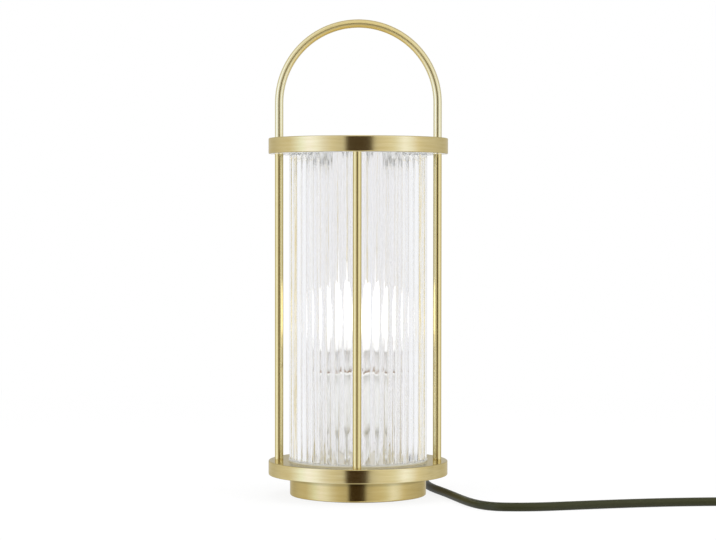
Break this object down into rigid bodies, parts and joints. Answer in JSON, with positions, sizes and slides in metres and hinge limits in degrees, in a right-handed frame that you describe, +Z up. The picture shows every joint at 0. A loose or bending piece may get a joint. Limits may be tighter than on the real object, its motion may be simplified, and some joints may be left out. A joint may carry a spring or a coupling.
{
  "type": "table lamp",
  "caption": "Lantern table lamp with a ribbed glass cylinder between two brass rings, upright rods, a fixed bow handle and a round mains lead.",
  "frame": {"origin": "on the floor under the middle of the plinth", "axes": "+Z up along the glass cylinder's axis, +X to the lamp's right as pictured, +Y to its back, where the lead comes out; the handle lies in the XZ plane"},
  "size_m": [0.493, 0.2284, 0.3983],
  "materials": {
    "satin_brass": "satin brushed, lacquered",
    "ribbed_glass": "clear pressed glass with upright ribs",
    "seal_silicone": "milky silicone, half matte",
    "outlet_rubber": "matte",
    "pad_rubber": "matte foam rubber",
    "zinc_steel": "zinc plated",
    "white_enamel": "satin paint",
    "white_plastic": "moulded, half gloss",
    "holder_ceramic": "unglazed",
    "contact_brass": "plain pressed sheet",
    "opal_globe": "opal, lit",
    "bulb_white": "smooth",
    "bulb_cap_metal": "nickelled",
    "bulb_insulator_black": "glassy",
    "lead_rubber": "smooth, slightly glossy",
    "wire_brown": "smooth insulation",
    "wire_blue": "smooth insulation",
    "tie_black": "matte strap",
    "plug_black": "moulded, fine grain",
    "pin_nickel": "nickel plated"
  },
  "bodies": {
    "lamp": {"handle": "satin_brass", "top_ring": "satin_brass", "top_cover": "satin_brass", "cover_screws": "satin_brass", "upper_seal": "seal_silicone", "glass_cylinder": "ribbed_glass", "lower_seal": "seal_silicone", "rod_front": "satin_brass", "rod_back": "satin_brass", "rod_left": "satin_brass", "rod_right": "satin_brass", "rod_screws": "zinc_steel", "base_ring": "satin_brass", "plinth": "satin_brass", "plinth_collar": "satin_brass", "plinth_screws": "zinc_steel", "bottom_plate": "zinc_steel", "plate_screws": "zinc_steel", "base_pad": "pad_rubber", "stem": "white_enamel", "nipple": "zinc_steel", "nipple_washer": "zinc_steel", "nipple_nut": "zinc_steel", "holder_cap": "white_plastic", "holder_body": "white_plastic", "holder_core": "holder_ceramic", "screw_shell": "contact_brass", "centre_contact": "contact_brass", "shade_ring": "satin_brass", "terminal_block": "white_plastic", "lead_clamp": "white_plastic", "clamp_screws": "zinc_steel", "strain_relief": "outlet_rubber", "inner_lead": "lead_rubber", "brown_wires": "wire_brown", "blue_wires": "wire_blue", "cord": "lead_rubber", "cord_coil": "lead_rubber", "cord_tie": "tie_black", "plug_body": "plug_black", "plug_pins": "pin_nickel"},
    "bulb_foot": {"bulb_insulator": "bulb_insulator_black", "bulb_tip": "bulb_cap_metal"},
    "bulb": {"bulb_globe": "opal_globe", "bulb_housing": "bulb_white", "bulb_cap": "bulb_cap_metal"}
  },
  "joints": [
    {"name": "bulb_lift", "type": "slide", "parent": "lamp", "child": "bulb_foot", "axis": [0, 0, 1], "range_m": [0, 0.0163]},
    {"name": "bulb_turn", "type": "hinge", "parent": "bulb_foot", "child": "bulb", "pos_m": [0, 0, 0.1], "axis": [0, 0, 1], "range_deg": [0, 1620]}
  ],
  "couplings": [
    {"joint": "bulb_lift", "follows": "bulb_turn", "m_per_rad": 0.00057614}
  ]
}
